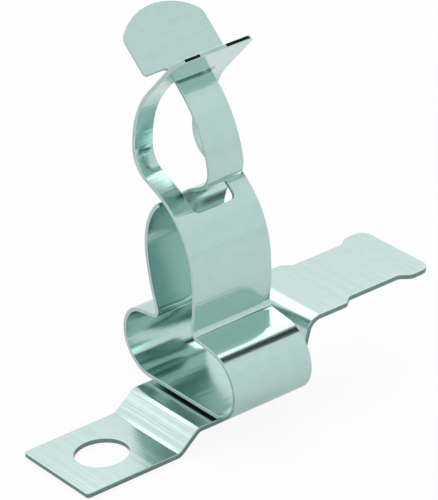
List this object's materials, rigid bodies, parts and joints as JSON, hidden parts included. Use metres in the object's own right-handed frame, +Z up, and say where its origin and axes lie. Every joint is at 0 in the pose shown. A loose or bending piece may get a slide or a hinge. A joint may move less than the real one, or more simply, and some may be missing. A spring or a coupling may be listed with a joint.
{
  "type": "cable shield clamp",
  "caption": "Folded metal strip with a screw foot and a notched tie tail, carrying a spring clip whose crossing arms grip a cable's bared shield.",
  "frame": {"origin": "centre of the screw hole, on the underside of the foot", "axes": "+Z up out of the mounting surface along the screw, +Y along the strip from the screw foot to the tie tail, +X towards the arm with the window"},
  "size_m": [0.017, 0.0392, 0.0381],
  "materials": {
    "base_plating": "bright plated steel strip",
    "spring_plating": "bright plated spring steel"
  },
  "bodies": {
    "root": {"base_strip": "base_plating", "spring_clip": "spring_plating"}
  },
  "joints": []
}
